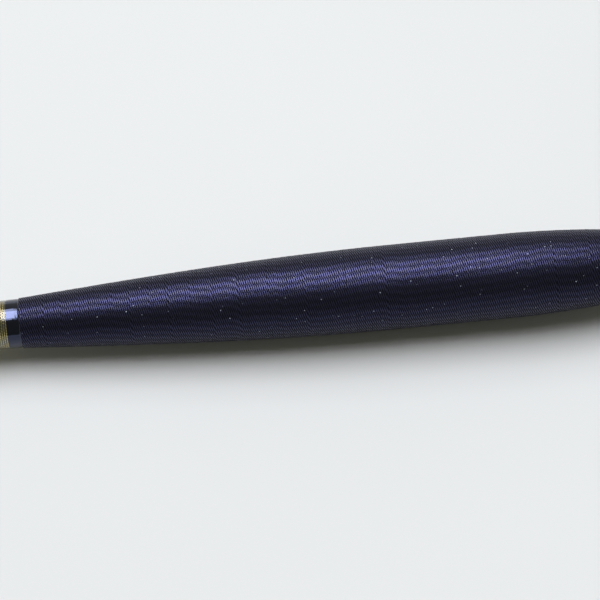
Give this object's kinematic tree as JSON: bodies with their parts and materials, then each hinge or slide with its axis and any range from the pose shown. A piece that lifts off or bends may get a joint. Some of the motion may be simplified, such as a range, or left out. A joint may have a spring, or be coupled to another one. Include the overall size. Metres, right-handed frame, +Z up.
{
  "type": "herabuna rod",
  "caption": "Compact telescopic herabuna rod, closed: swelling thread-wound grip, nested tapered sections with ringed mouths, screw butt cap and swivelling tip loop.",
  "frame": {"origin": "centre of the butt cap's flat end face", "axes": "+X along the rod's axis out of the butt, so that the tip points to -X; +Z up, with the rod's axis level"},
  "size_m": [0.5854, 0.0258, 0.0258],
  "materials": {
    "blank_lacquer": "gloss",
    "black_lacquer": "gloss",
    "core_wood": "matte",
    "navy_thread": "matte",
    "gold_thread": "satin",
    "dark_whipping": "gloss",
    "whipping_lacquer": "gloss",
    "ring_metal": "satin",
    "dark_metal": "satin",
    "swivel_steel": "satin",
    "soft_rubber": "matte",
    "tip_lacquer": "gloss"
  },
  "bodies": {
    "butt_section": {"butt_blank": "blank_lacquer", "butt_ferrule": "dark_metal", "rear_lacquer_band": "black_lacquer", "grip_core": "core_wood", "grip_winding": "navy_thread", "grip_winding_turns": "navy_thread", "front_lacquer_band": "black_lacquer", "gold_whipping_base": "dark_whipping", "gold_thread_wrap": "gold_thread", "front_whipping": "whipping_lacquer", "mouth_whipping": "whipping_lacquer", "mouth_ring": "ring_metal"},
    "cushion": {"cushion_pad": "soft_rubber"},
    "butt_cap": {"butt_cap": "dark_metal", "cap_o_ring": "soft_rubber"},
    "section_4": {"section_4_blank": "blank_lacquer", "section_4_mouth_whipping": "whipping_lacquer", "section_4_mouth_ring": "ring_metal"},
    "section_3": {"section_3_blank": "blank_lacquer", "section_3_mouth_whipping": "whipping_lacquer", "section_3_mouth_ring": "ring_metal"},
    "section_2": {"section_2_blank": "blank_lacquer", "section_2_mouth_whipping": "whipping_lacquer", "section_2_mouth_ring": "ring_metal"},
    "tip_section": {"tip_blank": "tip_lacquer", "swivel_socket": "swivel_steel"},
    "line_swivel": {"swivel_pin": "swivel_steel", "line_loop": "swivel_steel"}
  },
  "joints": [
    {"name": "section_4_draw", "type": "slide", "parent": "butt_section", "child": "section_4", "axis": [-1, 0, 0], "range_m": [0, 0.4309]},
    {"name": "section_3_draw", "type": "slide", "parent": "section_4", "child": "section_3", "axis": [-1, 0, 0], "range_m": [0, 0.4479]},
    {"name": "section_2_draw", "type": "slide", "parent": "section_3", "child": "section_2", "axis": [-1, 0, 0], "range_m": [0, 0.4649]},
    {"name": "tip_draw", "type": "slide", "parent": "section_2", "child": "tip_section", "axis": [-1, 0, 0], "range_m": [0, 0.4819]},
    {"name": "line_swivel_turn", "type": "hinge", "parent": "tip_section", "child": "line_swivel", "pos_m": [-0.578, 0, 0], "axis": [-1, 0, 0], "continuous": true},
    {"name": "butt_cap_travel", "type": "slide", "parent": "butt_section", "child": "cushion", "axis": [1, 0, 0], "range_m": [0, 0.006]},
    {"name": "butt_cap_turn", "type": "hinge", "parent": "cushion", "child": "butt_cap", "pos_m": [-0.008, 0, 0], "axis": [1, 0, 0], "range_deg": [0, 2160]}
  ],
  "couplings": [
    {"joint": "butt_cap_travel", "follows": "butt_cap_turn", "m_per_rad": 0.000159}
  ]
}
